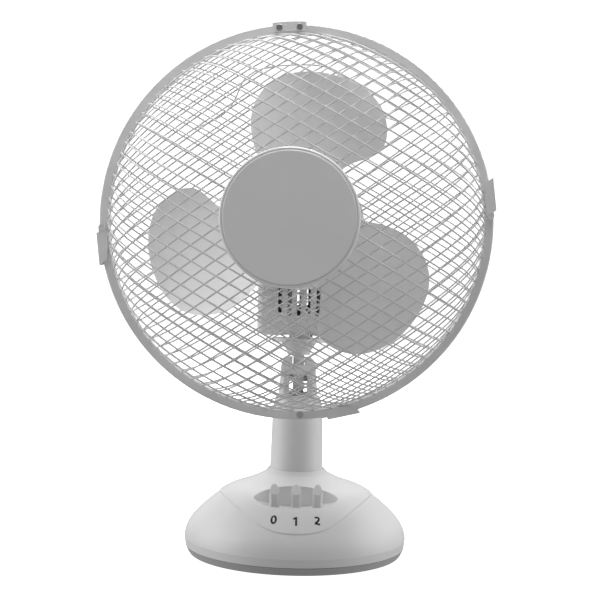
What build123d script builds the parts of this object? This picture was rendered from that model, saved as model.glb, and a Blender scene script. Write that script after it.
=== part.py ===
from build123d import *
import math
import os

# Nine-inch two-speed desk fan, as an assembly of separate pieces.
#
# Millimetres, +Z up.  The origin is on the floor under the column's axis, and the fan faces -Y.
# The fan stands as it is used: its head is tilted a little up and swung a little to -X.
#
# The head is drawn in its own head frame: x to the right as seen from in front, y up, z forward
# along the fan's axis, with its zero on the fan's axis right above the column.

# ---------------------------------------------------------------- driving dimensions
# Base and column
PLATE_R = 79.5              # foot of the bottom plate
SHELL_R = 82.6              # widest radius of the base
PLATE_BOTTOM_Z = 1.0
SEAM_Z = 7.0                # bottom plate meets base shell
BAND_TOP_Z = 13.0           # top of the upright band
COLLAR_R = 20.2
COLLAR_Z = 64.0
SHELL_WALL = 2.4
SHIELD_RISE = 1.2           # raised control panel
COLUMN_FOOT_R = 20.9
COLUMN_TOP_R = 16.1
COLUMN_TOP_Z = 118.0
BUSH_R = 4.0
FOOT_RADIUS = 6.0
FOOT_CIRCLE_R = 66.0

# Control keys
KEY_PITCH = 15.4
KEY_WIDTH = 7.2
KEY_DEPTH = 9.0
KEY_Y = -49.5
KEY_TOP_Z = 60.5
KEY_FOOT_Z = 26.0
KEY_BEND = 2.3              # rounding of a key's front corners
RECESS_FLOOR_Z = 41.0
RECESS_HOLLOW_R = 80.0      # the recess floor is hollow from side to side

# Tilt hinge
PIVOT_Z = 131.5
KNUCKLE_R = 15.8
TONGUE_THICK = 8.0
TONGUE_R = 11.5
PIN_R = 2.5
RUNNING_FIT = 0.05
TILT_REST = 3.0             # degrees up
SWING_REST = 4.0            # degrees to -X
NECK_TOP_Z = 158.0
DISC_R = 20.0
DISC_TOP_Z = 161.0
POST_R = 5.0
SWIVEL_TOP_Z = 169.0        # top of the swivel bearing

# Head
FAN_Z = 243.8               # fan axis above the floor, before tilting
HOUSING_FLOOR_Z = 163.0
HOUSING_R = 38.0
HOUSING_HALF = 31.0
HOUSING_FRONT = 10.0        # along the fan axis, forward of the column
HOUSING_SPLIT = -20.0
HOUSING_BACK = -80.0
HOUSING_WALL = 2.2
SHAFT_R = 4.0
SCREW_R = 1.6
BOSS_R = 4.5
BOSS_FRONT = -6.0
BOSS_BACK = -28.0

# Guards
RIM_OUT_R = 137.5
RIM_IN_R = 131.0
RIM_PLANE = 70.0            # where the two rims meet
RIM_THICK = 4.0
RIM_GAP = 0.2
MESH_R = 131.6
MESH_PITCH = 9.0
MESH_ANGLE = 32.0
MESH_LAYER = 1.5            # one wire family lies this much over the other
WIRE_R = 0.6
FRONT_DEPTH = 49.8
REAR_DEPTH = 56.0
PROFILE_POWER = 2.6
PROFILE_ROUND = 1.8
GUARD_TURN = 2.8            # degrees, as the guard happens to be clipped on
PLATE_HOLE_R = 13.0
REAR_PLATE_R = 47.0
BADGE_R = 47.0

# Guard clips: angle of each swing clip round the rim
CLIP_ANGLES = {"clip_right": 0.0, "clip_left": 180.0, "clip_bottom": -83.5}
CLIP_PIVOT_R = 135.2
CLIP_LENGTH = 26.0
CLIP_EAR_R = 2.7
CLIP_LEAN = 4.0             # degrees, the closed clips lean in round the rim
HOOK_TURN = 4.9             # degrees, half the hook's length
TOP_HOOK_ANGLE = 90.0
RIM_SCREW_ANGLE = -90.0

# Fan blade
BLADE_PLANE = 60.0
BLADE_COUNT = 3
BLADE_PITCH = 20.0
BLADE_CAMBER_R = 160.0
BLADE_MID_X = 14.0          # middle of the blade's chord
BLADE_THICK = 1.8
HUB_R = 24.0

# Swing mechanism, in plan: the crank's centre, seen from the swivel's axis
CRANK_X = 11.5
CRANK_Y = 50.0
NECK_PIN_R = 11.0           # swivel axis to link pin
NECK_PIN_TURN = 35.0        # degrees, the link pin stands this far behind the neck's side
SWING_LIMIT = 40.0
CRANK_RATIO = 90.0 / SWING_LIMIT
CRANK_R = NECK_PIN_R * math.sin(math.radians(SWING_LIMIT))
LINK_CENTRE = 0.5616 * NECK_PIN_R   # middle of the path of the link's eye
LINK_PIN_R = 1.2
EYE_R = 3.9                 # oversize, because the crank turns at a constant ratio
LINK_Z = 173.0
WORM_PITCH_R = 3.2
WORM_GEAR_TEETH = 15

# ---------------------------------------------------------------- frames
TILT_PLACE = Pos(0, 0, PIVOT_Z) * Rot(-TILT_REST, 0, 0) * Pos(0, 0, -PIVOT_Z)
SWING_PLACE = TILT_PLACE * Rot(0, 0, -SWING_REST)
HEAD_FRAME = Plane(origin=(0, 0, FAN_Z), x_dir=(1, 0, 0), z_dir=(0, -1, 0))
HEAD_PLACE = SWING_PLACE * HEAD_FRAME.location
GUARD_PLACE = HEAD_PLACE * Rot(0, 0, GUARD_TURN)

BUSH_PLACE = Pos(0, SHELL_R - 9.2, 14.0) * Rot(-90, 0, 0)

os.makedirs("parts", exist_ok=True)


def save(name, solids, place=None):
    """Write one node: a single piece, or a list of separate pieces."""
    pieces = solids if isinstance(solids, list) else [solids]
    placed = [place * piece if place else piece for piece in pieces]
    shape = placed[0] if len(placed) == 1 else Compound(placed)
    export_step(shape, f"parts/{name}.step")


def ring(outer_r, inner_r, low, high):
    """A flat ring round z."""
    height = high - low
    body = Cylinder(outer_r, height, align=(Align.CENTER, Align.CENTER, Align.MIN))
    hole = Cylinder(inner_r, height, align=(Align.CENTER, Align.CENTER, Align.MIN))
    return Pos(0, 0, low) * (body - hole)


def post(radius, low, high, x=0.0, y=0.0):
    """An upright cylinder from z = low to z = high."""
    return Pos(x, y, low) * Cylinder(radius, high - low, align=(Align.CENTER, Align.CENTER, Align.MIN))


def block(size_x, size_y, low, high, x=0.0, y=0.0):
    """An upright box from z = low to z = high."""
    box = Box(size_x, size_y, high - low, align=(Align.CENTER, Align.CENTER, Align.MIN))
    return Pos(x, y, low) * box


def round_about(points):
    """Turn a profile of (radius, height) corners round z."""
    profile = Plane.XZ * make_face(Polyline(*points, close=True))
    return revolve(profile, Axis.Z)


# ---------------------------------------------------------------- base
def dome_face(offset):
    """Half section of the base dome, moved inwards by offset; its foot is the seam."""
    side = SHELL_R - offset
    shoulder = (side, BAND_TOP_Z - offset)
    crest = (47.0, 50.1 - offset)
    neck = (COLLAR_R + offset, COLLAR_Z - 1.2 * offset)
    foot_r = PLATE_R + 2.2 - offset
    outline = [
        Line((0, SEAM_Z), (foot_r, SEAM_Z)),
        Line((foot_r, SEAM_Z), shoulder),
        Spline(
            shoulder,
            (80.2 - 0.9 * offset, 22.0 - 0.5 * offset),
            (71.0 - 0.65 * offset, 33.5 - 0.8 * offset),
            crest,
            (36.0, 53.9 - offset),
            (26.0, 58.6 - offset),
            neck,
            tangents=[(-0.1, 1), (-0.75, 1)],
        ),
        Line(neck, (0, neck[1])),
        Line((0, neck[1]), (0, SEAM_Z)),
    ]
    return make_face(outline)


def dome_solid(offset):
    return revolve(Plane.XZ * dome_face(offset), Axis.Z)


def shield_outline():
    """Egg-shaped control panel: a rounded V in front, closed behind the column."""
    front = [(0, -75.5), (22.5, -69.0), (40.5, -48.0), (55.5, -10.0)]
    right = Spline(*front, (51.0, 22.0), (33.0, 47.0), (0, 58.0), tangents=[(1, 0), (-1, 0)])
    left = mirror(right, Plane.YZ)
    return make_face([right, left])


def eye_outline(grow):
    """Almond-shaped finger recess, grown by grow all round."""
    corner = 30.5 + grow
    front_mid = -58.5 - grow
    back_mid = -34.0 + grow
    front = Spline(
        (-corner, -42.0), (-19.5, -55.5 - grow), (0, front_mid), (19.5, -55.5 - grow), (corner, -42.0)
    )
    back = Spline(
        (-corner, -42.0), (-18.0, -34.6 + grow), (0, back_mid), (18.0, -34.6 + grow), (corner, -42.0)
    )
    return make_face([front, back])


def recess_shape(grow):
    """Space of the finger recess, grown by grow into the wall around it."""
    hollow_r = RECESS_HOLLOW_R + grow
    hollow = Pos(0, 0, RECESS_FLOOR_Z + RECESS_HOLLOW_R) * Rot(90, 0, 0) * Cylinder(hollow_r, 200)
    return extrude(Pos(0, 0, RECESS_FLOOR_Z - grow) * eye_outline(grow), 40) & hollow


def base_shell():
    raised = Pos(0, 0, SHIELD_RISE) * dome_solid(0)
    panel = raised & extrude(Pos(0, 0, 20) * shield_outline(), COLLAR_Z - 20 + SHIELD_RISE)
    outer = dome_solid(0) + panel
    top_trim = block(200, 200, COLLAR_Z, COLLAR_Z + 10)
    recess = recess_shape(0)
    well = recess_shape(SHELL_WALL)
    inside = dome_solid(SHELL_WALL) - well
    shell = outer - top_trim - inside - recess
    shell -= post(COLUMN_FOOT_R + 0.1, SEAM_Z - 1, 52.0)
    shell -= post(COLLAR_R - 0.1, 50.0, COLLAR_Z + 5)
    shell -= BUSH_PLACE * post(BUSH_R, 4, 20)
    for x in key_places():
        shell -= Pos(x, 0, 30) * extrude(key_plan(0.5), 20)
    return shell


def bottom_plate():
    profile = [
        (0, PLATE_BOTTOM_Z),
        (PLATE_R - 1.0, PLATE_BOTTOM_Z),
        (PLATE_R, PLATE_BOTTOM_Z + 1.2),
        (PLATE_R + 2.2, SEAM_Z - 0.6),
        (PLATE_R + 1.4, SEAM_Z - 0.1),
        (0, SEAM_Z - 0.1),
    ]
    plate = round_about(profile)
    pocket = post(PLATE_R - 4.0, PLATE_BOTTOM_Z + 2.6, SEAM_Z + 1)
    column_seat = ring(26.0, 12.0, PLATE_BOTTOM_Z + 2.6, SEAM_Z - 0.1)
    plate = plate - pocket + column_seat
    for x, y in screw_places():
        boss = post(5.0, PLATE_BOTTOM_Z + 2.0, SEAM_Z - 0.1, x, y)
        plate = plate + boss - post(3.4, 0, PLATE_BOTTOM_Z + 2.0, x, y) - post(1.9, 0, SEAM_Z + 1, x, y)
    for x, y in foot_places():
        plate -= post(FOOT_RADIUS, 0, PLATE_BOTTOM_Z + 1.0, x, y)
    return plate


def on_circle(radius, first_degrees, count):
    steps = [math.radians(first_degrees + 360 * i / count) for i in range(count)]
    return [(radius * math.cos(a), radius * math.sin(a)) for a in steps]


def foot_places():
    """Four feet near the edge, and one in the middle under the column."""
    return on_circle(FOOT_CIRCLE_R, 45, 4) + [(0, 0)]


def screw_places():
    return on_circle(22.0, 90, 3)


def rubber_feet():
    return [fillet(post(FOOT_RADIUS, 0, PLATE_BOTTOM_Z + 1.0, x, y).faces().sort_by(Axis.Z)[0].edges(), 0.5)
            for x, y in foot_places()]


def base_screws():
    """Screws from below, through the bottom plate into the column's foot."""
    screws = []
    for x, y in screw_places():
        head = post(3.2, PLATE_BOTTOM_Z + 0.3, PLATE_BOTTOM_Z + 2.0, x, y)
        cross = block(4.0, 0.8, 0, PLATE_BOTTOM_Z + 1.0, x, y) + block(0.8, 4.0, 0, PLATE_BOTTOM_Z + 1.0, x, y)
        screws.append(head + post(1.5, PLATE_BOTTOM_Z + 2.0, 16.0, x, y) - cross)
    return screws


def cable_bush():
    """The mains inlet at the back of the base: a rubber bush with a cable hole."""
    body = post(BUSH_R, 0, 11.0) + post(BUSH_R + 1.2, 9.6, 11.0) + post(BUSH_R + 1.2, 0, 2.0)
    hole = post(2.6, -1, 12)
    return BUSH_PLACE * (body - hole)


def key_places():
    return [KEY_PITCH * i for i in (-1, 0, 1)]


def key_plan(grow):
    """Plan of a key grown by grow all round: a bar with well rounded front corners."""
    half = KEY_WIDTH / 2 + grow
    front = KEY_Y - KEY_DEPTH / 2 - grow
    back = KEY_Y + KEY_DEPTH / 2 + grow
    bend = KEY_BEND + grow
    near = bend * 0.293
    outline = [
        Line((-half + bend, front), (half - bend, front)),
        ThreePointArc((half - bend, front), (half - near, front + near), (half, front + bend)),
        Line((half, front + bend), (half, back)),
        Line((half, back), (-half, back)),
        Line((-half, back), (-half, front + bend)),
        ThreePointArc((-half, front + bend), (-half + near, front + near), (-half + bend, front)),
    ]
    return make_face(outline)


def key(x):
    """A piano key: round-cornered front, a facet sloping back above it, and a pointed round top."""
    front = KEY_Y - KEY_DEPTH / 2
    back = KEY_Y + KEY_DEPTH / 2
    half = KEY_WIDTH / 2
    side = [
        Line((front - 1, KEY_FOOT_Z), (front - 1, 52.0)),
        Line((front - 1, 52.0), (front + 3.9, KEY_TOP_Z - 1.0)),
        ThreePointArc((front + 3.9, KEY_TOP_Z - 1.0), (front + 5.4, KEY_TOP_Z), (back - 1.0, KEY_TOP_Z - 1.8)),
        Line((back - 1.0, KEY_TOP_Z - 1.8), (back, 50.0)),
        Line((back, 50.0), (back, KEY_FOOT_Z)),
        Line((back, KEY_FOOT_Z), (front - 1, KEY_FOOT_Z)),
    ]
    profile = extrude(Plane.YZ * make_face(side), half + 1, both=True)
    crown = Plane.XZ * make_face([
        Line((-half, KEY_FOOT_Z), (half, KEY_FOOT_Z)),
        Line((half, KEY_FOOT_Z), (half, KEY_TOP_Z - 7)),
        ThreePointArc((half, KEY_TOP_Z - 7), (half - 0.9, KEY_TOP_Z - 2.8), (0.8, KEY_TOP_Z)),
        Line((0.8, KEY_TOP_Z), (-0.8, KEY_TOP_Z)),
        ThreePointArc((-0.8, KEY_TOP_Z), (-half + 0.9, KEY_TOP_Z - 2.8), (-half, KEY_TOP_Z - 7)),
        Line((-half, KEY_TOP_Z - 7), (-half, KEY_FOOT_Z)),
    ])
    bar = extrude(Pos(0, 0, KEY_FOOT_Z) * key_plan(0), KEY_TOP_Z - KEY_FOOT_Z)
    return Pos(x, 0, 0) * (bar & profile & extrude(crown, 90, both=True))


def switch_block():
    """Latching switch under the keys, open at the top for the key stems."""
    case = block(50, 20, 12, 36, 0, KEY_Y)
    for x in key_places():
        case -= block(KEY_WIDTH + 0.8, KEY_DEPTH + 0.8, 20, 40, x, KEY_Y)
    legs = [block(6, 14, SEAM_Z - 0.1 - 3.3, 12, 22 * side, KEY_Y) for side in (-1, 1)]
    return case + legs[0] + legs[1]


# ---------------------------------------------------------------- column and tilt hinge
def column():
    outer = [
        Line((0, SEAM_Z), (29, SEAM_Z)),
        Line((29, SEAM_Z), (29, 10)),
        Line((29, 10), (COLUMN_FOOT_R, 12)),
        Line((COLUMN_FOOT_R, 12), (COLLAR_R - 0.2, 52)),
        Line((COLLAR_R - 0.2, 52), (18.7, 102)),
        ThreePointArc((18.7, 102), (17.9, 111.5), (COLUMN_TOP_R, COLUMN_TOP_Z)),
        Line((COLUMN_TOP_R, COLUMN_TOP_Z), (0, COLUMN_TOP_Z)),
        Line((0, COLUMN_TOP_Z), (0, SEAM_Z)),
    ]
    body = revolve(Plane.XZ * make_face(outer), Axis.Z)
    bore = round_about([(0, 0), (17.4, 0), (15.6, 100), (15.6, 106), (13.2, 108), (13.2, 130), (0, 130)])
    body -= bore
    for x, y in screw_places():
        body -= post(1.5, 0, 16.0, x, y)
    return body


def knuckle():
    """Fork on top of the column that holds the neck's tongue on the tilt pin."""
    seat = COLUMN_TOP_Z
    wide = 14.6
    narrow = 13.0
    top = PIVOT_Z + KNUCKLE_R
    front_view = Plane.XZ * fillet(
        make_face(Polyline((-wide, seat), (wide, seat), (narrow, 137), (narrow, top), (-narrow, top),
                           (-narrow, 137), close=True)).vertices().group_by(Axis.Y)[-1], 8.0)
    side_view = Plane.YZ * make_face([
        Line((-KNUCKLE_R, seat), (KNUCKLE_R, seat)),
        Line((KNUCKLE_R, seat), (KNUCKLE_R, PIVOT_Z)),
        ThreePointArc((KNUCKLE_R, PIVOT_Z), (0, top), (-KNUCKLE_R, PIVOT_Z)),
        Line((-KNUCKLE_R, PIVOT_Z), (-KNUCKLE_R, seat)),
    ])
    body = extrude(front_view, 30, both=True) & extrude(side_view, 30, both=True)
    body &= post(19.0, seat, top + 1)
    body += post(13.1, 104, seat)
    body -= block(13.4, 60, 119.5, 135.2)
    room = Rot(0, 90, 0) * Cylinder(TONGUE_R + 0.8, TONGUE_THICK + 1.0)
    body -= Pos(0, 0, PIVOT_Z) * room
    body -= block(TONGUE_THICK + 1.0, 25.5, PIVOT_Z, 160, 0, 1.2)
    body -= post(6.0, 100, PIVOT_Z)
    body -= Pos(0, 0, PIVOT_Z) * Rot(0, 90, 0) * Cylinder(PIN_R, 60)
    for side in (-1, 1):
        body -= Pos(13.2 * side, 0, PIVOT_Z) * Rot(0, 90, 0) * Cylinder(4.2, 3.6)
    return body


def tilt_pin():
    """Pin with a flat head on one side and a pressed cap on the other."""
    body = Cylinder(PIN_R, 26.0)
    for side in (-1, 1):
        body += Pos(0, 0, 12.3 * side) * Cylinder(4.0, 1.6)
    return Pos(0, 0, PIVOT_Z) * Rot(0, 90, 0) * body


def neck():
    """Tongue, funnel and cable way in one moulding; it tilts on the pin."""
    tongue = Pos(0, 0, PIVOT_Z) * Rot(0, 90, 0) * Cylinder(TONGUE_R, TONGUE_THICK)
    tongue += block(TONGUE_THICK, 13.0, PIVOT_Z, 150.0)
    funnel = round_about([
        (0, PIVOT_Z + KNUCKLE_R + 1.4), (8.5, PIVOT_Z + KNUCKLE_R + 1.4), (9.0, 151.5), (11.0, 155.0),
        (13.5, NECK_TOP_Z), (0, NECK_TOP_Z),
    ])
    body = tongue + funnel
    body -= Pos(0, 0, PIVOT_Z) * Rot(0, 90, 0) * Cylinder(PIN_R + RUNNING_FIT, 20)
    return body


def swivel_disc():
    """Turntable that the head rides on."""
    return ring(DISC_R, 3.0, NECK_TOP_Z, DISC_TOP_Z)


def swivel_post():
    """Swivel post on the turntable, with the washer that keeps the head on it."""
    body = post(3.0, NECK_TOP_Z, DISC_TOP_Z) + post(POST_R, DISC_TOP_Z, SWIVEL_TOP_Z + 0.3)
    return body + post(POST_R + 2.5, SWIVEL_TOP_Z + 0.3, SWIVEL_TOP_Z + 1.7)


def link_pin():
    turn = math.radians(NECK_PIN_TURN)
    x, y = NECK_PIN_R * math.cos(turn), NECK_PIN_R * math.sin(turn)
    return post(LINK_PIN_R, DISC_TOP_Z, LINK_Z + 2.0, x, y)


# ---------------------------------------------------------------- head: housing and motor
def up(world_z):
    """Height in the head frame of a point at world_z on the untilted head."""
    return world_z - FAN_Z


def housing_outline(inset):
    radius = HOUSING_R - inset
    half = HOUSING_HALF - inset
    bottom = up(HOUSING_FLOOR_Z) + inset
    join_y = -math.sqrt(radius * radius - half * half)
    corner = 7.0 - 0.5 * inset
    outline = [
        Line((half, join_y), (half, bottom + corner)),
        ThreePointArc((half, bottom + corner), (half - corner * 0.293, bottom + corner * 0.293),
                      (half - corner, bottom)),
        Line((half - corner, bottom), (-half + corner, bottom)),
        ThreePointArc((-half + corner, bottom), (-half + corner * 0.293, bottom + corner * 0.293),
                      (-half, bottom + corner)),
        Line((-half, bottom + corner), (-half, join_y)),
        ThreePointArc((-half, join_y), (0, radius), (half, join_y)),
    ]
    return make_face(outline)


def housing_cup(inset, front, back, front_round, back_round):
    """Prism of the housing outline, rounded at its front or back edge."""
    body = extrude(Pos(0, 0, back) * housing_outline(inset), front - back)
    if front_round:
        body = fillet(body.faces().sort_by(Axis.Z)[-1].edges(), front_round)
    if back_round:
        body = fillet(body.faces().sort_by(Axis.Z)[0].edges(), back_round)
    return body


def slot(width, length, depth, x, y_low):
    """Round-ended upright slot through a wall, as a cutting piece."""
    shape = Rot(0, 0, 90) * SlotOverall(length, width)
    return Pos(x, y_low + length / 2, -depth / 2) * extrude(shape, depth)


def upright_hole(radius, x, z_head, low, high):
    """A cutting cylinder that stands upright in the head frame."""
    return Pos(x, (low + high) / 2, z_head) * Rot(90, 0, 0) * Cylinder(radius, high - low)


def housing_front():
    wall = HOUSING_WALL
    body = housing_cup(0, HOUSING_FRONT, HOUSING_SPLIT, 4.5, 0)
    body -= housing_cup(wall, HOUSING_FRONT - wall, HOUSING_SPLIT - 1, 2.5, 0)
    for i in (-2, -1, 0, 1, 2):
        body -= Pos(0, 0, HOUSING_FRONT) * slot(3.0, 44.0, 30.0, 7.0 * i, up(177.6))
    body += post(PLATE_HOLE_R - 0.2, HOUSING_FRONT - wall, HOUSING_FRONT + 8.5)
    body -= post(SHAFT_R + 2.0, HOUSING_FRONT - wall - 1, HOUSING_FRONT + 9)
    for x, y in housing_bosses():
        body += post(BOSS_R, HOUSING_SPLIT, BOSS_FRONT, x, y)
        body -= post(SCREW_R, HOUSING_SPLIT - 1, BOSS_FRONT + 1, x, y)
    return body - swivel_opening()


def housing_rear():
    wall = HOUSING_WALL
    body = housing_cup(0, HOUSING_SPLIT - 0.2, HOUSING_BACK, 0, 16.0)
    body -= housing_cup(wall, HOUSING_SPLIT + 1, HOUSING_BACK + wall, 0, 13.5)
    for i in (-2, -1, 0, 1, 2):
        body -= Pos(0, 0, HOUSING_BACK) * slot(3.0, 40.0, 40.0, 7.0 * i, up(185.0))
    for x, y in housing_bosses():
        body += post(BOSS_R, BOSS_BACK, HOUSING_SPLIT - 0.2, x, y)
        body -= post(SCREW_R, BOSS_BACK - 1, HOUSING_SPLIT + 1, x, y)
    body -= upright_hole(3.4, CRANK_X, -CRANK_Y, 20, 50)
    return body - swivel_opening()


def swivel_opening():
    """Opening in the housing floor for the swivel's sleeve and link pin, closed in front by the front wall."""
    hole = upright_hole(NECK_PIN_R + 2.2, 0, 0, up(HOUSING_FLOOR_Z) - 5, up(HOUSING_FLOOR_Z) + 6)
    return hole & Pos(0, 0, HOUSING_FRONT - HOUSING_WALL - 50.05) * Box(100, 400, 100)


def housing_bosses():
    return [(-25.0, up(188.0)), (25.0, up(188.0)), (0.0, 32.0)]


def housing_screws():
    """Screws along the fan axis that pull the two housing halves together."""
    return [post(SCREW_R, BOSS_BACK, BOSS_FRONT - 2, x, y) + post(3.0, BOSS_BACK - 2, BOSS_BACK, x, y)
            for x, y in housing_bosses()]


def motor_bracket():
    """Cast end plate in front of the motor, with the arm and sleeve that turn on the swivel post."""
    plate = extrude(RectangleRounded(54, 54, 10), 3.0) - post(9.0, -5, 10)
    arm_low = up(HOUSING_FLOOR_Z + HOUSING_WALL + 0.4)
    arm_foot = up(SWIVEL_TOP_Z)
    arm = Pos(-9.5, (arm_low - 24.0) / 2, -2.5) * Box(8, -24.0 - arm_low, 11)
    sleeve = upright_hole(POST_R + 2.4, 0, 0, up(DISC_TOP_Z + 0.3), up(SWIVEL_TOP_Z))
    foot = Pos(-6.75, (arm_low + arm_foot) / 2, -2.5) * Box(13.5, arm_foot - arm_low, 11)
    body = plate + arm + foot + sleeve
    body -= upright_hole(POST_R + RUNNING_FIT, 0, 0, up(150), up(SWIVEL_TOP_Z + 0.4))
    body -= upright_hole(POST_R + 3.2, 0, 0, up(SWIVEL_TOP_Z), up(SWIVEL_TOP_Z + 6.0))
    return body


def bearings():
    """Front and rear sleeve bearings of the motor shaft."""
    front = ring(9.0, SHAFT_R + RUNNING_FIT, -3.0, 4.0)
    rear = ring(8.0, SHAFT_R + RUNNING_FIT, -41.0, -35.0)
    return [front, rear]


def stator():
    """Laminated stator with four wound poles."""
    core = extrude(Pos(0, 0, -29.0) * RectangleRounded(52, 52, 11), 20.0)
    core -= post(14.6, -30, -5)
    for angle in (45, 135, 225, 315):
        window = Pos(18.6, 0, -19.0) * Box(4.4, 12, 24)
        core -= Rot(0, 0, angle) * window
    return core


def stator_coils():
    """Two wound coils standing in front of and behind the stator."""
    front = ring(23.0, 15.4, -9.0, -4.2)
    rear = ring(23.0, 15.4, -33.6, -29.0)
    return [front, rear]


def motor_rear_plate():
    """End plate behind the motor, with the rear bearing's seat."""
    plate = extrude(Pos(0, 0, -37.0) * RectangleRounded(52, 52, 11), 2.6)
    plate -= post(8.0, -43, -30)
    return plate + ring(11.0, 8.0, -41.0, -37.0)


def rotor_core():
    """Squirrel-cage rotor with skewed bars as shallow grooves."""
    body = ring(14.0, SHAFT_R, -29.0, -9.0)
    for i in range(12):
        groove = Rot(0, 0, 30 * i) * Pos(14.2, 0, -19.0) * Rot(12, 0, 0) * Box(1.2, 1.6, 30)
        body -= groove
    return body


def shaft():
    """Motor shaft: blade end in front, worm at the back."""
    body = post(SHAFT_R, -44.0, 84.0)
    worm = post(WORM_PITCH_R - 0.6, -58.0, -44.0)
    for i in range(5):
        worm += ring(WORM_PITCH_R + 0.5, WORM_PITCH_R - 1.2, -56.5 + 2.6 * i, -55.5 + 2.6 * i)
    pin = Pos(0, 0, BLADE_PLANE - 14) * Rot(0, 90, 0) * Cylinder(1.0, 14)
    return body + worm + pin


def worm_gear():
    """Worm wheel on the upright crank shaft, its teeth tips just clear of the worm."""
    tip_r = CRANK_X - WORM_PITCH_R - 0.8
    body = Cylinder(tip_r, 5.0)
    for i in range(WORM_GEAR_TEETH // 2):
        turn = 360 * i / (WORM_GEAR_TEETH // 2)
        body -= Rot(0, 0, turn) * Pos(tip_r, 0, 0) * Box(1.4, 0.8, 10)
    body -= Cylinder(2.0 + RUNNING_FIT, 10)
    return Pos(CRANK_X, 0, -CRANK_Y) * Rot(90, 0, 0) * body


def gear_case():
    """Gearbox behind the motor, open in front where the worm enters."""
    outer = Pos(6.0, 0, -51.0) * Box(32, 18, 19.4)
    inner = Pos(6.0, 0, -49.5) * Box(27, 13, 17.0)
    body = outer - inner
    body -= upright_hole(2.0 + 2 * RUNNING_FIT, CRANK_X, -CRANK_Y, -30, 0)
    return body - upright_hole(3.4, CRANK_X, -CRANK_Y, 5, 30)


def osc_knob():
    """Push-pull knob on top of the housing that lets the swing drive in and out."""
    stem = post(3.0, 4.0, 46.0)
    grip = post(8.0, 41.5, 53.0)
    grip = fillet(grip.faces().sort_by(Axis.Z)[-1].edges(), 2.5)
    for i in range(16):
        grip -= Rot(0, 0, 22.5 * i) * Pos(8.4, 0, 46.5) * Cylinder(0.9, 8)
    return Pos(CRANK_X, 0, -CRANK_Y) * Rot(-90, 0, 0) * (stem + grip)


def crank_rest_degrees():
    return NECK_PIN_TURN + CRANK_RATIO * SWING_REST


def crank_pin_place():
    """Crank pin in plan, seen from the swivel's axis."""
    angle = math.radians(crank_rest_degrees())
    return CRANK_X + CRANK_R * math.cos(angle), CRANK_Y + CRANK_R * math.sin(angle)


def crank():
    """Upright shaft from the worm wheel down to the crank arm and its pin."""
    pin_x, pin_y = crank_pin_place()
    body = post(2.0, LINK_Z + 3.0, FAN_Z + 3.2, CRANK_X, CRANK_Y)
    body += post(4.0, LINK_Z + 3.0, LINK_Z + 6.0, CRANK_X, CRANK_Y)
    body += post(3.0, LINK_Z + 3.0, LINK_Z + 5.0, pin_x, pin_y)
    arm = Pos((CRANK_X + pin_x) / 2, (CRANK_Y + pin_y) / 2, LINK_Z + 4.0)
    body += arm * Rot(0, 0, crank_rest_degrees()) * Box(CRANK_R, 5.0, 2.0)
    body += post(1.5, LINK_Z - 1.5, LINK_Z + 3.0, pin_x, pin_y)
    return body


def link():
    """Flat link from the crank pin to the neck's link pin; its eye there is oversize."""
    pin_x, pin_y = crank_pin_place()
    turn = math.radians(NECK_PIN_TURN)
    eye_x = pin_x - CRANK_X + LINK_CENTRE * math.cos(turn)
    eye_y = pin_y - CRANK_Y + LINK_CENTRE * math.sin(turn)
    length = math.hypot(pin_x - eye_x, pin_y - eye_y)
    lean = math.degrees(math.atan2(pin_y - eye_y, pin_x - eye_x))
    low = LINK_Z - 1.0
    high = LINK_Z + 1.0
    bar = Pos((pin_x + eye_x) / 2, (pin_y + eye_y) / 2, LINK_Z) * Rot(0, 0, lean) * Box(length, 4.5, 2.0)
    body = bar + post(3.4, low, high, pin_x, pin_y) + post(EYE_R + 1.4, low, high, eye_x, eye_y)
    body -= post(1.5 + RUNNING_FIT, low - 1, high + 1, pin_x, pin_y)
    body -= post(EYE_R, low - 1, high + 1, eye_x, eye_y)
    return body


# ---------------------------------------------------------------- fan blade
def petal():
    """Outline of one broad blade, pointing up, seen from in front."""
    edge = Spline(
        (-16.0, 14.0), (-26.0, 43.0), (-31.2, 72.0), (-16.5, 99.0), (8.0, 106.8), (38.5, 100.7),
        (60.5, 78.5), (58.0, 52.5), (38.0, 43.2), (22.0, 28.0), (15.0, 12.0),
    )
    return make_face([edge, Line((15.0, 12.0), (-16.0, 14.0))])


def blade_sheet():
    """Sheet hollowed on its front and pitched about the blade's radius, its leading edge to the back."""
    tube = Cylinder(BLADE_CAMBER_R, 120) - Cylinder(BLADE_CAMBER_R - BLADE_THICK, 122)
    sheet = Pos(0, 60, BLADE_CAMBER_R - 4.0) * Rot(-90, 0, 0) * tube
    sheet &= Pos(0, 60, 0) * Box(110, 120, 40)
    return Pos(BLADE_MID_X, 0, 0) * Rot(0, BLADE_PITCH, 0) * sheet


def fan_blade():
    """Hub and three blades in one moulding."""
    hub = post(HUB_R, -14.0, 14.0)
    hub = fillet(hub.faces().sort_by(Axis.Z)[-1].edges(), 4.0)
    hub -= ring(HUB_R - 2.4, 8.0, -15.0, 8.0)
    one = extrude(Pos(0, 0, -40) * petal(), 80) & blade_sheet()
    one -= post(HUB_R - 1.0, -40, 40)
    body = hub
    for i in range(BLADE_COUNT):
        body += Rot(0, 0, 360 * i / BLADE_COUNT) * one
    body -= post(SHAFT_R + RUNNING_FIT, -20, 20.0)
    body -= Pos(0, 0, -14.0) * Box(15, 2.6, 3.0)
    return Pos(0, 0, BLADE_PLANE) * body


def blade_nut():
    """Spinner nut that holds the blade on the shaft."""
    top = BLADE_PLANE + 14.0
    body = post(12.0, top, top + 14.0)
    body = fillet(body.faces().sort_by(Axis.Z)[-1].edges(), 5.0)
    for i in range(12):
        body -= Rot(0, 0, 30 * i) * Pos(12.6, 0, top + 5) * Cylinder(1.4, 12)
    return body - post(SHAFT_R, top - 1, BLADE_PLANE + 24.0)


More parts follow.
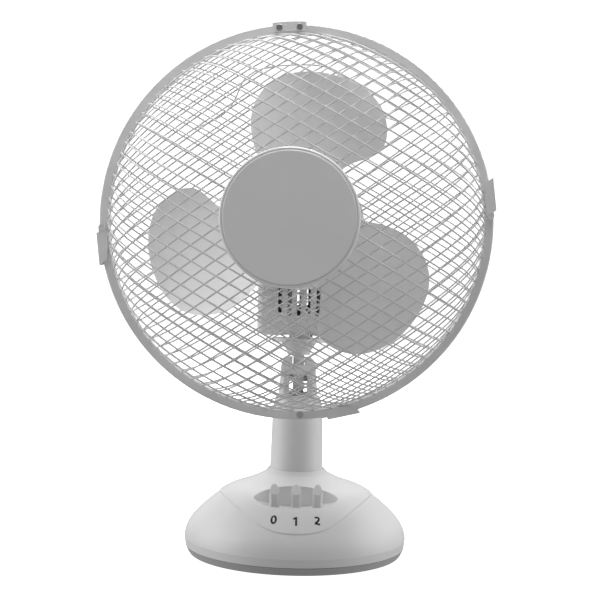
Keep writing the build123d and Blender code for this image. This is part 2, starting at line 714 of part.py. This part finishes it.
# ---------------------------------------------------------------- guards
def mesh_height(radius, depth):
    """Height of a guard's bowl over its rim at this radius."""
    share = min(radius / MESH_R, 1.0)
    return depth * (1.0 - share ** PROFILE_POWER) ** (1.0 / PROFILE_ROUND)


def bowl_table(depth):
    """Radius against distance along the bowl, from its middle to its rim."""
    steps = 600
    table = [(0.0, 0.0)]
    for i in range(1, steps + 1):
        radius = MESH_R * math.sin(0.5 * math.pi * i / steps)
        before = table[-1][1]
        rise = mesh_height(radius, depth) - mesh_height(before, depth)
        table.append((table[-1][0] + math.hypot(radius - before, rise), radius))
    return table


def radius_along(table, distance):
    low = 0
    high = len(table) - 1
    while high - low > 1:
        middle = (low + high) // 2
        if table[middle][0] <= distance:
            low = middle
        else:
            high = middle
    near, far = table[low], table[high]
    share = (distance - near[0]) / (far[0] - near[0])
    return near[1] + share * (far[1] - near[1])


def on_bowl(table, depth, u, v, lift):
    """Lay the flat lattice point u, v on the bowl."""
    distance = min(math.hypot(u, v), table[-1][0] - 0.001)
    radius = radius_along(table, distance)
    turn = math.atan2(v, u)
    return Vector(radius * math.cos(turn), radius * math.sin(turn), mesh_height(radius, depth) + lift)


def wire(points):
    """A round wire through these points, its corners eased by arcs."""
    radii = []
    for before, here, after in zip(points, points[1:], points[2:]):
        run = min((here - before).length, (after - here).length)
        turn = math.radians((here - before).get_angle(after - here))
        radii.append(0.45 * run / math.tan(turn / 2))
    path = FilletPolyline(*points, radius=radii) if radii else Line(*points)
    start = Plane(origin=points[0], z_dir=points[1] - points[0])
    return sweep(start * Circle(WIRE_R), path=path)


def lattice(depth, slope, lift, hole_r):
    """One family of parallel wires laid over a bowl; wires stop at the plate in its middle."""
    table = bowl_table(depth)
    reach = table[-1][0]
    along = Vector(math.cos(math.radians(slope)), math.sin(math.radians(slope)), 0)
    across = Vector(-along.Y, along.X, 0)
    wires = []
    count = int(reach / MESH_PITCH)
    for k in range(-count, count):
        offset = (k + 0.5) * MESH_PITCH
        half = math.sqrt(max(reach * reach - offset * offset, 0.0))
        if half < 38.0:
            continue
        inner = math.sqrt(hole_r * hole_r - offset * offset) if abs(offset) < hole_r else 0.0
        spans = [(-half, -inner), (inner, half)] if inner else [(-half, half)]
        for start, end in spans:
            runs = max(3, round((end - start) / 22.0))
            flat = [start + (end - start) * i / runs for i in range(runs + 1)]
            points = [
                on_bowl(table, depth, along.X * t + across.X * offset, along.Y * t + across.Y * offset, lift)
                for t in flat
            ]
            wires.append(wire(points))
    return wires


def forward(solids, rim_plane):
    return [Pos(0, 0, rim_plane) * solid for solid in solids]


def backward(solids, rim_plane):
    return [Pos(0, 0, rim_plane) * mirror(solid, Plane.XY) for solid in solids]


def rim(low, high):
    body = ring(RIM_OUT_R, RIM_IN_R, low, high)
    return fillet(body.edges(), 0.9)


def front_rim():
    body = rim(RIM_PLANE + RIM_GAP, RIM_PLANE + RIM_GAP + RIM_THICK)
    return body - rim_screw_hole()


def rear_rim():
    body = rim(RIM_PLANE - RIM_GAP - RIM_THICK, RIM_PLANE - RIM_GAP)
    for angle in CLIP_ANGLES.values():
        body -= at_rim(angle) * Cylinder(1.2, 20)
    return body - rim_screw_hole()


def at_rim(angle):
    """A place on the clip circle: x outwards, y on round the rim, z forward."""
    return Rot(0, 0, angle) * Pos(CLIP_PIVOT_R, 0, RIM_PLANE)


def rim_screw_hole():
    return Rot(0, 0, RIM_SCREW_ANGLE) * Pos((RIM_OUT_R + RIM_IN_R) / 2, 0, RIM_PLANE) * Cylinder(1.3, 30)


def rim_screw():
    """Safety screw at the bottom of the guard."""
    low = -RIM_GAP - RIM_THICK
    high = RIM_GAP + RIM_THICK
    body = post(1.3, low - 1.0, high) + post(2.4, high, high + 1.3)
    body -= block(3.6, 0.7, high + 0.7, high + 2)
    return Rot(0, 0, RIM_SCREW_ANGLE) * Pos((RIM_OUT_R + RIM_IN_R) / 2, 0, RIM_PLANE) * body


def top_hook():
    """Fixed hook at the top of the rear rim that the front rim hangs in."""
    outer = RIM_OUT_R + 1.5
    shell = ring(outer, RIM_OUT_R + 0.1, -5.9, 5.9)
    front_lip = ring(outer, RIM_IN_R + 1.6, 4.5, 5.9)
    back_lip = ring(outer, RIM_IN_R + 1.6, -5.9, -4.5)
    sector = extrude(Pos(0, 0, -10) * make_face(Polyline(
        (0, 0), (170, 170 * math.tan(math.radians(HOOK_TURN))),
        (170, -170 * math.tan(math.radians(HOOK_TURN))), close=True)), 20)
    body = (shell + front_lip + back_lip) & sector
    return Rot(0, 0, TOP_HOOK_ANGLE) * Pos(0, 0, RIM_PLANE) * body


def hook_rivets():
    rivets = []
    for turn in (-3.0, 3.0):
        body = post(2.4, 5.9, 6.5)
        body = fillet(body.faces().sort_by(Axis.Z)[-1].edges(), 0.3) - post(1.1, 6.3, 7.0)
        rivets.append(Rot(0, 0, TOP_HOOK_ANGLE + turn) * Pos(CLIP_PIVOT_R, 0, RIM_PLANE) * body)
    return rivets


def guard_clip(angle):
    """Swing clip: a straight channel that straddles both rims and turns on its rivet."""
    wall_in = 2.9
    wall_out = 4.4
    lip = 1.3
    high = RIM_GAP + RIM_THICK + 0.35 + lip
    length = CLIP_LENGTH
    tip = [(wall_out, length), (-1.2, length - 3.2)]
    flange = make_face([
        ThreePointArc((CLIP_EAR_R, 0), (0, -CLIP_EAR_R), (-CLIP_EAR_R, 0)),
        Line((-CLIP_EAR_R, 0), (-CLIP_EAR_R, 6.0)),
        Spline((-CLIP_EAR_R, 6.0), (-2.3, 14.0), tip[1]),
        Line(tip[1], tip[0]),
        Line(tip[0], (wall_out, 3.4)),
        Line((wall_out, 3.4), (CLIP_EAR_R, 3.0)),
        Line((CLIP_EAR_R, 3.0), (CLIP_EAR_R, 0)),
    ])
    front_lip = extrude(Pos(0, 0, high - lip) * flange, lip)
    back_lip = extrude(Pos(0, 0, -high) * flange, lip)
    wall_face = make_face(Polyline((wall_in, 3.4), (wall_out, 3.4), (wall_out, length),
                                   (wall_in, length - 0.9), close=True))
    wall = extrude(Pos(0, 0, -high) * wall_face, 2 * high)
    ear_ring = ring(CLIP_EAR_R - 0.3, CLIP_EAR_R - 0.9, high - 0.1, high + 0.3)
    body = front_lip + back_lip + wall + ear_ring
    body -= post(1.2 + RUNNING_FIT, -high - 5, 0)
    return at_rim(angle) * Rot(0, 0, CLIP_LEAN) * body


def clip_rivets():
    """One rivet per swing clip, set in the rear rim."""
    rivets = []
    edge = RIM_GAP + RIM_THICK + 0.35 + 1.3
    for angle in CLIP_ANGLES.values():
        body = post(1.2, -edge - 0.2, -RIM_GAP) + post(2.2, -edge - 1.0, -edge - 0.2)
        rivets.append(at_rim(angle) * body)
    return rivets


def rear_plate():
    """Dished plate in the middle of the rear guard, keyed on the housing's threaded boss."""
    body = ring(REAR_PLATE_R, PLATE_HOLE_R, 10.2, 12.4)
    rim_height = ring(REAR_PLATE_R, REAR_PLATE_R - 3.2, 10.2, 17.0)
    for turn in range(0, 360, 60):
        body -= Rot(0, 0, turn) * Pos(29, 0, 11) * extrude(Rot(0, 0, 90) * SlotOverall(16, 6), 8, both=True)
    return body + rim_height


def guard_nut():
    """Ring nut that clamps the rear guard to the housing."""
    body = ring(19.0, PLATE_HOLE_R - 0.2, 12.4, 18.0)
    for turn in range(0, 360, 30):
        body -= Rot(0, 0, turn) * Pos(19.8, 0, 15) * Cylinder(1.8, 8)
    return body


def rear_stay_wire():
    """Bell-shaped stiffening wire inside the rear guard, over the shaft."""
    half = [(74, 72), (61, 77), (49, 84.5), (42, 95), (37, 105.5), (27, 111.5), (11, 114.2)]
    flat = half + [(-x, y) for x, y in reversed(half)]
    points = []
    for x, y in flat:
        height = mesh_height(math.hypot(x, y), REAR_DEPTH)
        points.append(Vector(x, y, RIM_PLANE - 2.0 - height + MESH_LAYER + 1.3))
    return wire(points)


def badge():
    """Round front badge, slightly crowned, without any mark."""
    low = RIM_PLANE + 2.2 + FRONT_DEPTH + MESH_LAYER + WIRE_R
    body = post(BADGE_R - 1.9, low, low + 3.6)
    return fillet(body.faces().sort_by(Axis.Z)[-1].edges(), 1.2)


def badge_rim():
    """Bright trim ring round the badge."""
    low = RIM_PLANE + 2.2 + FRONT_DEPTH + MESH_LAYER + WIRE_R
    body = ring(BADGE_R, BADGE_R - 1.9, low, low + 3.2)
    return fillet(body.faces().sort_by(Axis.Z)[-1].edges().sort_by(SortBy.LENGTH)[-1], 1.2)


def badge_clamp():
    """Cross bar behind the mesh that the badge is screwed to."""
    high = RIM_PLANE + 2.2 + FRONT_DEPTH - WIRE_R - 0.4
    body = block(36, 10, high - 2.0, high)
    return body + post(3.0, high, high + 2 * WIRE_R + MESH_LAYER + 0.4)


# ---------------------------------------------------------------- write every node
save("base_shell", base_shell())
save("bottom_plate", bottom_plate())
save("rubber_feet", rubber_feet())
save("base_screws", base_screws())
save("cable_bush", cable_bush())
save("switch_block", switch_block())
for number, place_x in enumerate(key_places()):
    save(f"key_{number}", key(place_x))
save("column", column())
save("knuckle", knuckle())
save("tilt_pin", tilt_pin())

save("neck", neck(), TILT_PLACE)
save("swivel_disc", swivel_disc(), TILT_PLACE)
save("swivel_post", swivel_post(), TILT_PLACE)
save("link_pin", link_pin(), TILT_PLACE)

save("housing_front", housing_front(), HEAD_PLACE)
save("housing_rear", housing_rear(), HEAD_PLACE)
save("housing_screws", housing_screws(), HEAD_PLACE)
save("motor_bracket", motor_bracket(), HEAD_PLACE)
save("motor_rear_plate", motor_rear_plate(), HEAD_PLACE)
save("bearings", bearings(), HEAD_PLACE)
save("stator", stator(), HEAD_PLACE)
save("stator_coils", stator_coils(), HEAD_PLACE)
save("gear_case", gear_case(), HEAD_PLACE)
save("worm_gear", worm_gear(), HEAD_PLACE)
save("osc_knob", osc_knob(), HEAD_PLACE)
save("crank", crank(), SWING_PLACE)
save("link", link(), SWING_PLACE)

save("shaft", shaft(), HEAD_PLACE)
save("rotor_core", rotor_core(), HEAD_PLACE)
save("fan_blade", fan_blade(), HEAD_PLACE)
save("blade_nut", blade_nut(), HEAD_PLACE)

front_plane = RIM_PLANE + 2.2
rear_plane = RIM_PLANE - 2.2
for family, slope, lift in (("rising", MESH_ANGLE, 0.0), ("falling", -MESH_ANGLE, MESH_LAYER)):
    front = forward(lattice(FRONT_DEPTH, slope, lift, 0.0), front_plane)
    save(f"front_mesh_{family}", front, GUARD_PLACE)
    rear = backward(lattice(REAR_DEPTH, slope, lift - MESH_LAYER, 45.0), rear_plane)
    save(f"rear_mesh_{family}", rear, GUARD_PLACE)
save("front_rim", front_rim(), GUARD_PLACE)
save("rear_rim", rear_rim(), GUARD_PLACE)
save("rear_plate", rear_plate(), GUARD_PLACE)
save("guard_nut", guard_nut(), GUARD_PLACE)
save("rear_stay_wire", rear_stay_wire(), GUARD_PLACE)
save("badge", badge(), GUARD_PLACE)
save("badge_rim", badge_rim(), GUARD_PLACE)
save("badge_clamp", badge_clamp(), GUARD_PLACE)
save("top_hook", top_hook(), GUARD_PLACE)
save("hook_rivets", hook_rivets(), GUARD_PLACE)
save("rim_screw", rim_screw(), GUARD_PLACE)
for name, clip_angle in CLIP_ANGLES.items():
    save(name, guard_clip(clip_angle), GUARD_PLACE)
save("clip_rivets", clip_rivets(), GUARD_PLACE)
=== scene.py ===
import math

import bmesh
import bpy
from mathutils import Euler, Matrix, Vector
from mathutils.bvhtree import BVHTree


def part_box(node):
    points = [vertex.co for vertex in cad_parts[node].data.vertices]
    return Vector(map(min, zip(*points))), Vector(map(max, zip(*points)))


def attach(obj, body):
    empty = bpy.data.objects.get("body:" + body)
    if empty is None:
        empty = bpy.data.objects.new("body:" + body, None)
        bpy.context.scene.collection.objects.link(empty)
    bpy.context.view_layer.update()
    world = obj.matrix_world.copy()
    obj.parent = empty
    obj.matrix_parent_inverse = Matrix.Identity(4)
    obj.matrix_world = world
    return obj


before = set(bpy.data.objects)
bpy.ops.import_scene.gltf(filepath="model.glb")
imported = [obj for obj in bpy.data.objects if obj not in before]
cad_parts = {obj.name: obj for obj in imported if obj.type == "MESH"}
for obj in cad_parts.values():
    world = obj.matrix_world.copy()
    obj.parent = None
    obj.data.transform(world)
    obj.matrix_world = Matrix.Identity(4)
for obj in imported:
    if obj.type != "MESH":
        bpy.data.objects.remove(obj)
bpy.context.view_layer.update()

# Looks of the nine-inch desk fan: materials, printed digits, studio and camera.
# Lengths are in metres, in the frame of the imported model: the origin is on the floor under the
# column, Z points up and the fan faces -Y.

MM = 0.001

# ---------------------------------------------------------------- material building blocks
NOISE_LOW, NOISE_HIGH = 0.25, 0.75      # most of a noise texture lies between these values
RAMP_DARK, RAMP_LIGHT = 0.3, 0.7        # where a colour ramp is fully dark and fully light


def new_material(name):
    """A new node material, its tree, its principled shader and the object coordinate."""
    material = bpy.data.materials.new(name)
    material.use_nodes = True
    tree = material.node_tree
    shader = tree.nodes["Principled BSDF"]
    coordinate = tree.nodes.new("ShaderNodeTexCoord")
    return material, tree, shader, coordinate.outputs["Object"]


def noise(tree, vector, scale, detail, stretch=None):
    """Noise of this many features per metre, scaled per axis if asked."""
    if stretch:
        mapping = tree.nodes.new("ShaderNodeMapping")
        mapping.inputs["Scale"].default_value = stretch
        tree.links.new(vector, mapping.inputs["Vector"])
        vector = mapping.outputs["Vector"]
    node = tree.nodes.new("ShaderNodeTexNoise")
    node.inputs["Scale"].default_value = scale
    node.inputs["Detail"].default_value = detail
    tree.links.new(vector, node.inputs["Vector"])
    return node.outputs["Fac"]


def between(tree, factor, low, high):
    """Map a texture to the range low to high."""
    node = tree.nodes.new("ShaderNodeMapRange")
    node.inputs["From Min"].default_value = NOISE_LOW
    node.inputs["From Max"].default_value = NOISE_HIGH
    node.inputs["To Min"].default_value = low
    node.inputs["To Max"].default_value = high
    tree.links.new(factor, node.inputs["Value"])
    return node.outputs["Result"]


def tint(tree, factor, dark, light):
    """Mix two colours by a texture."""
    ramp = tree.nodes.new("ShaderNodeValToRGB")
    ramp.color_ramp.elements[0].position = RAMP_DARK
    ramp.color_ramp.elements[0].color = (*dark, 1)
    ramp.color_ramp.elements[1].position = RAMP_LIGHT
    ramp.color_ramp.elements[1].color = (*light, 1)
    tree.links.new(factor, ramp.inputs["Fac"])
    return ramp.outputs["Color"]


def bump(tree, shader, height, strength, distance):
    """Let a texture raise the surface by up to this distance."""
    node = tree.nodes.new("ShaderNodeBump")
    node.inputs["Strength"].default_value = strength
    node.inputs["Distance"].default_value = distance
    tree.links.new(height, node.inputs["Height"])
    tree.links.new(node.outputs["Normal"], shader.inputs["Normal"])


def grey(level):
    return (level, level, level)


def shades(colour, spread):
    """A darker and a lighter neighbour of a colour."""
    dark = tuple(c * (1 - spread) for c in colour)
    light = tuple(min(1.0, c * (1 + spread)) for c in colour)
    return dark, light


# ---------------------------------------------------------------- materials
# Each texture's scale is in features per metre.
FLOW_SCALE = 22.0
GRAIN_SCALE = 1400.0
PEEL_SCALE = 620.0
TONE_SCALE = 35.0
DRAWN_SCALE = 900.0
DUST_SCALE = 160.0
GRAIN_DEPTH = 0.03 * MM
PEEL_DEPTH = 0.06 * MM
DRAWN_DEPTH = 0.03 * MM
RIDGE_DEPTH = 0.2 * MM
DUST_DEPTH = 0.1 * MM
COAT_ROUGHNESS = 0.18
RIDGE_WOBBLE = 0.6


def moulded(name, colour, rough, spread=0.025, grain=GRAIN_SCALE, depth=GRAIN_DEPTH, coat=0.0):
    """Moulded plastic: faint flow marks in the colour, and a fine eroded grain."""
    material, tree, shader, place = new_material(name)
    flow = noise(tree, place, scale=FLOW_SCALE, detail=4.0)
    fine = noise(tree, place, scale=grain, detail=2.0)
    colours = tint(tree, flow, *shades(colour, spread))
    roughness = between(tree, flow, low=rough - 0.04, high=rough + 0.05)
    tree.links.new(colours, shader.inputs["Base Color"])
    tree.links.new(roughness, shader.inputs["Roughness"])
    shader.inputs["Coat Weight"].default_value = coat
    shader.inputs["Coat Roughness"].default_value = COAT_ROUGHNESS
    bump(tree, shader, fine, strength=0.35, distance=depth)
    return material


def painted(name, colour, rough):
    """Powder coat on steel: light orange peel and small tone changes."""
    material, tree, shader, place = new_material(name)
    peel = noise(tree, place, scale=PEEL_SCALE, detail=2.0)
    tone = noise(tree, place, scale=TONE_SCALE, detail=3.0)
    colours = tint(tree, tone, *shades(colour, spread=0.05))
    roughness = between(tree, peel, low=rough - 0.05, high=rough + 0.06)
    tree.links.new(colours, shader.inputs["Base Color"])
    tree.links.new(roughness, shader.inputs["Roughness"])
    bump(tree, shader, peel, strength=0.3, distance=PEEL_DEPTH)
    return material


def metal(name, colour, rough, stretch=None):
    """Bare metal: an even cast grain, or lines drawn along one axis if stretched."""
    material, tree, shader, place = new_material(name)
    lines = noise(tree, place, scale=DRAWN_SCALE, detail=3.0, stretch=stretch)
    colours = tint(tree, lines, *shades(colour, spread=0.12))
    roughness = between(tree, lines, low=rough - 0.07, high=rough + 0.1)
    tree.links.new(colours, shader.inputs["Base Color"])
    tree.links.new(roughness, shader.inputs["Roughness"])
    shader.inputs["Metallic"].default_value = 1.0
    bump(tree, shader, lines, strength=0.2, distance=DRAWN_DEPTH)
    return material


def banded(name, colour, rough, scale, metallic, direction):
    """Stacked sheets or wound wire: close parallel ridges."""
    material, tree, shader, place = new_material(name)
    wave = tree.nodes.new("ShaderNodeTexWave")
    wave.bands_direction = direction
    wave.inputs["Scale"].default_value = scale
    wave.inputs["Distortion"].default_value = RIDGE_WOBBLE
    tree.links.new(place, wave.inputs["Vector"])
    ridges = wave.outputs["Fac"]
    colours = tint(tree, ridges, *shades(colour, spread=0.3))
    roughness = between(tree, ridges, low=rough, high=rough + 0.15)
    tree.links.new(colours, shader.inputs["Base Color"])
    tree.links.new(roughness, shader.inputs["Roughness"])
    shader.inputs["Metallic"].default_value = metallic
    bump(tree, shader, ridges, strength=0.6, distance=RIDGE_DEPTH)
    return material


def rubber(name):
    """Black rubber, paler where dust sits on it."""
    material, tree, shader, place = new_material(name)
    dust = noise(tree, place, scale=DUST_SCALE, detail=4.0)
    colours = tint(tree, dust, dark=grey(0.025), light=grey(0.06))
    roughness = between(tree, dust, low=0.7, high=0.9)
    tree.links.new(colours, shader.inputs["Base Color"])
    tree.links.new(roughness, shader.inputs["Roughness"])
    bump(tree, shader, dust, strength=0.4, distance=DUST_DEPTH)
    return material


looks = {
    "shell": moulded("satin_white_plastic", grey(0.80), rough=0.42, coat=0.12),
    "key": moulded("key_plastic", grey(0.80), rough=0.3, coat=0.2),
    # The base plate is grey plastic, and its grey is set darker still as painted shade: the shade
    # that falls under the base.
    "foot": moulded("base_plate_plastic_and_painted_shade", grey(0.45), rough=0.4),
    "badge": moulded("badge_plastic", grey(0.84), rough=0.42, grain=2200.0),
    "trim": moulded("badge_trim_plastic", grey(0.88), rough=0.3, coat=0.3),
    # The blades are pale plastic, and their near-white is partly painted light: the backlight that
    # shines through the thin blades.
    "blade": moulded("blade_plastic_and_painted_backlight", grey(0.95), rough=0.38, spread=0.02, grain=1000.0),
    "wire": painted("coated_wire", grey(0.72), rough=0.42),
    "rim": painted("painted_rim", grey(0.84), rough=0.42),
    "steel": metal("bright_steel", (0.62, 0.62, 0.63), rough=0.3, stretch=(1, 1, 0.05)),
    "casting": metal("die_casting", (0.55, 0.55, 0.56), rough=0.5),
    "bronze": metal("sintered_bronze", (0.55, 0.38, 0.17), rough=0.5),
    "lamination": banded("laminations", (0.30, 0.30, 0.31), rough=0.4, scale=320.0, metallic=1.0,
                         direction="Y"),
    "winding": banded("copper_winding", (0.65, 0.27, 0.10), rough=0.3, scale=700.0, metallic=0.8,
                      direction="DIAGONAL"),
    "dark": moulded("dark_plastic", grey(0.03), rough=0.5),
    "nylon": moulded("gear_nylon", (0.72, 0.70, 0.62), rough=0.45),
    "rubber": rubber("soft_rubber"),
    "ink": moulded("printed_ink", grey(0.015), rough=0.5, depth=0.01 * MM),
}

NODE_LOOKS = {
    "shell": ("base_shell", "column", "knuckle", "neck", "swivel_disc", "housing_front",
              "housing_rear", "osc_knob"),
    "key": ("key_0", "key_1", "key_2"),
    "foot": ("bottom_plate",),
    "badge": ("badge",),
    "trim": ("badge_rim",),
    "blade": ("fan_blade", "blade_nut"),
    "wire": ("front_mesh_rising", "front_mesh_falling", "rear_mesh_rising", "rear_mesh_falling",
             "rear_stay_wire"),
    "rim": ("front_rim", "rear_rim", "rear_plate", "clip_right", "clip_left", "clip_bottom",
            "top_hook", "guard_nut"),
    "steel": ("base_screws", "tilt_pin", "swivel_post", "link_pin", "housing_screws", "shaft",
              "hook_rivets", "rim_screw", "clip_rivets", "crank", "link", "badge_clamp"),
    "casting": ("motor_bracket", "motor_rear_plate"),
    "bronze": ("bearings",),
    "lamination": ("stator", "rotor_core"),
    "winding": ("stator_coils",),
    "dark": ("switch_block", "gear_case"),
    "nylon": ("worm_gear",),
    "rubber": ("rubber_feet", "cable_bush"),
}


def dress(node, material):
    """Give a carried-over CAD node its material."""
    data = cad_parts[node].data
    data.materials.clear()
    data.materials.append(material)


for look, nodes in NODE_LOOKS.items():
    for node in nodes:
        dress(node, looks[look])

# ---------------------------------------------------------------- printed digits
# The digits stand in a row on the dome, in front of the keys. Their guide points are in shares
# of their height, from their middle.
DIGIT_HEIGHT = 7.0 * MM
DIGIT_Y = -68.2 * MM                # where the row crosses the fan's centre line
DIGIT_ARC = 0.0095 / MM             # how the row bends back on both sides, per metre
DIGIT_SLOPE = math.radians(36)      # of the dome under the row
INK_LIFT = 0.08 * MM                # of the ink's face above the dome
INK_ROOT = 0.15 * MM                # of the ink's edge below the dome
STROKE = 0.2                        # width of a stroke, as a share of the digits' height
RAY_HEIGHT = 0.2                    # where the rays that find the dome start
SMOOTH_STEPS = 40
OVAL_STEPS = 48


def surface_of(node):
    """A ray target of a CAD node's mesh at rest."""
    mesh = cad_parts[node].data
    places = [vertex.co for vertex in mesh.vertices]
    return BVHTree.FromPolygons(places, [face.vertices[:] for face in mesh.polygons])


def smooth_line(*guides):
    """Points along the line that the guide points pull, by repeated blending between them."""
    line = []
    for i in range(SMOOTH_STEPS + 1):
        share = i / SMOOTH_STEPS
        level = [Vector(guide) for guide in guides]
        while len(level) > 1:
            level = [a.lerp(b, share) for a, b in zip(level, level[1:])]
        line.append(level[0])
    return line


def oval(half_width, half_height):
    """Points round an oval, with the first repeated at the end."""
    turns = [math.tau * i / OVAL_STEPS for i in range(OVAL_STEPS + 1)]
    return [Vector((half_width * math.sin(t), half_height * math.cos(t))) for t in turns]


def stroke(work, line, lay):
    """Sweep a flat printed stroke of constant width along a line, with square ends."""
    rows = []
    for i, here in enumerate(line):
        way = (line[min(i + 1, len(line) - 1)] - line[max(i - 1, 0)]).normalized()
        side = Vector((-way.y, way.x)) * STROKE / 2
        corners = (
            (here + side, -INK_ROOT),
            (here + side, INK_LIFT),
            (here, INK_LIFT),
            (here - side, INK_LIFT),
            (here - side, -INK_ROOT),
        )
        rows.append([work.verts.new(lay(point, lift)) for point, lift in corners])
    for a, b in zip(rows, rows[1:]):
        for k in range(len(a)):
            n = (k + 1) % len(a)
            work.faces.new((a[k], a[n], b[n], b[k]))
    work.faces.new(rows[0])
    work.faces.new(rows[-1])


def digit(name, x, lines, target):
    """A number printed on the dome in front of its key."""

    def lay(point, lift):
        across = x + point.x * DIGIT_HEIGHT
        row = DIGIT_Y + DIGIT_ARC * x * x
        along = row + point.y * DIGIT_HEIGHT * math.cos(DIGIT_SLOPE)
        start = Vector((across, along, RAY_HEIGHT))
        hit, normal, _, _ = target.ray_cast(start, Vector((0, 0, -1)))
        return hit + normal * lift

    work = bmesh.new()
    for line in lines:
        stroke(work, line, lay)
    bmesh.ops.recalc_face_normals(work, faces=work.faces)
    mesh = bpy.data.meshes.new(name)
    work.to_mesh(mesh)
    work.free()
    mesh.materials.append(looks["ink"])
    piece = bpy.data.objects.new(name, mesh)
    bpy.context.scene.collection.objects.link(piece)
    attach(piece, "base")


DIGITS = (
    ("digit_0", "key_0", (oval(half_width=0.22, half_height=0.41),)),
    ("digit_1", "key_1", (
        smooth_line((0.06, 0.5), (0.06, -0.5)),
        smooth_line((-0.24, 0.26), (-0.02, 0.32), (0.06, 0.44)),
    )),
    ("digit_2", "key_2", (
        smooth_line((-0.2, 0.2), (-0.16, 0.46), (0.28, 0.46), (0.26, 0.12), (0.02, -0.1),
                    (-0.18, -0.38)),
        smooth_line((-0.26, -0.4), (0.27, -0.4)),
    )),
)

shell_surface = surface_of("base_shell")
for name, key, lines in DIGITS:
    low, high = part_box(key)
    digit(name, (low[0] + high[0]) / 2, lines, shell_surface)

# ---------------------------------------------------------------- studio
FLOOR_LIGHT = 0.36
CEILING_LIGHT = 0.16
HORIZON = 0.1                       # half the height of the band where the two meet
COVE_RADIUS = 3.2
COVE_HEIGHT = 4.0
COVE_BEND = 0.8
COVE_BEND_STEPS = 12
COVE_TURN_STEPS = 72
# Each softbox: its name, its place, the point it looks at, its size and its power in watts.
SOFTBOXES = (
    ("top_box", (0, 0.1, 1.5), (0, 0, 0.2), (1.0, 1.2), 25),
    ("back_box", (0, 1.2, 1.0), (0, 0, 0.2), (1.2, 1.0), 5),
    ("left_box", (-1.7, 0, 0.7), (0, 0, 0.1), (1.6, 1.6), 20),
    ("right_box", (1.7, 0, 0.7), (0, 0, 0.1), (1.6, 1.6), 17),
)


def white_paper(name):
    """Paper that glows by itself, so that the backdrop is an even white."""
    material = bpy.data.materials.new(name)
    material.use_nodes = True
    shader = material.node_tree.nodes["Principled BSDF"]
    shader.inputs["Base Color"].default_value = (0.9, 0.9, 0.9, 1)
    shader.inputs["Emission Color"].default_value = (1, 1, 1, 1)
    shader.inputs["Emission Strength"].default_value = 1.0
    shader.inputs["Roughness"].default_value = 1.0
    shader.inputs["Specular IOR Level"].default_value = 0.0
    return material


def cove():
    """Round studio cove: a floor that curves up into a wall. Only the camera sees it."""
    flat = COVE_RADIUS - COVE_BEND
    outline = [(0.0, 0.0), (flat, 0.0)]
    for i in range(1, COVE_BEND_STEPS + 1):
        turn = math.radians(90 * i / COVE_BEND_STEPS)
        outline.append((flat + COVE_BEND * math.sin(turn), COVE_BEND - COVE_BEND * math.cos(turn)))
    outline.append((COVE_RADIUS, COVE_HEIGHT))
    work = bmesh.new()
    spine = [work.verts.new((r, 0, z)) for r, z in outline]
    edges = [work.edges.new(pair) for pair in zip(spine, spine[1:])]
    bmesh.ops.spin(work, geom=spine + edges, cent=(0, 0, 0), axis=(0, 0, 1), angle=math.tau,
                   steps=COVE_TURN_STEPS, use_merge=True)
    mesh = bpy.data.meshes.new("cove")
    work.to_mesh(mesh)
    work.free()
    mesh.materials.append(white_paper("cove_paper"))
    piece = bpy.data.objects.new("cove", mesh)
    bpy.context.scene.collection.objects.link(piece)
    piece.visible_diffuse = False
    piece.visible_glossy = False
    piece.visible_shadow = False


def softbox(name, place, aim, size, power):
    """An area light that looks at a point, and that the camera doesn't see."""
    light = bpy.data.lights.new(name, "AREA")
    light.shape = "RECTANGLE"
    light.size, light.size_y = size
    light.energy = power
    lamp = bpy.data.objects.new(name, light)
    way = Vector(aim) - Vector(place)
    lamp.rotation_euler = way.to_track_quat("-Z", "Y").to_euler()
    lamp.location = place
    lamp.visible_camera = False
    bpy.context.scene.collection.objects.link(lamp)


def room_light():
    """White light from the room, one strength from the floor and one from the ceiling."""
    world = bpy.data.worlds.new("studio")
    bpy.context.scene.world = world
    world.use_nodes = True
    tree = world.node_tree
    background = tree.nodes["Background"]
    background.inputs["Color"].default_value = (1, 1, 1, 1)
    way = tree.nodes.new("ShaderNodeTexCoord")
    split = tree.nodes.new("ShaderNodeSeparateXYZ")
    level = tree.nodes.new("ShaderNodeMapRange")
    level.inputs["From Min"].default_value = -HORIZON
    level.inputs["From Max"].default_value = HORIZON
    level.inputs["To Min"].default_value = FLOOR_LIGHT
    level.inputs["To Max"].default_value = CEILING_LIGHT
    tree.links.new(way.outputs["Generated"], split.inputs["Vector"])
    tree.links.new(split.outputs["Z"], level.inputs["Value"])
    tree.links.new(level.outputs["Result"], background.inputs["Strength"])


room_light()
cove()
for softbox_facts in SOFTBOXES:
    softbox(*softbox_facts)
view = bpy.context.scene.view_settings
view.view_transform = "Standard"
view.look = "None"

# ---------------------------------------------------------------- camera
CAMERA_DISTANCE = 1.088             # along the floor, from the column's axis
CAMERA_HEIGHT = 0.248
CAMERA_AZIMUTH = math.radians(-0.3)
CAMERA_PITCH = math.radians(3.08)   # down from level
CAMERA_ROLL = math.radians(1.29)
CAMERA_LENS = 87.9                  # lens and sensor in millimetres
CAMERA_SENSOR = 36.0
CAMERA_NEAR = 0.05


def camera():
    """The photo's camera, fitted to the guard rim, the badge and the base."""
    data = bpy.data.cameras.new("camera")
    data.lens = CAMERA_LENS
    data.sensor_width = CAMERA_SENSOR
    data.clip_start = CAMERA_NEAR
    body = bpy.data.objects.new("camera", data)
    across = CAMERA_DISTANCE * math.sin(CAMERA_AZIMUTH)
    along = -CAMERA_DISTANCE * math.cos(CAMERA_AZIMUTH)
    level = Euler((math.radians(90) - CAMERA_PITCH, 0, CAMERA_AZIMUTH)).to_matrix()
    roll = Matrix.Rotation(CAMERA_ROLL, 3, "Z")
    move = Matrix.Translation((across, along, CAMERA_HEIGHT))
    body.matrix_world = move @ (level @ roll).to_4x4()
    bpy.context.scene.collection.objects.link(body)
    bpy.context.scene.camera = body


camera()
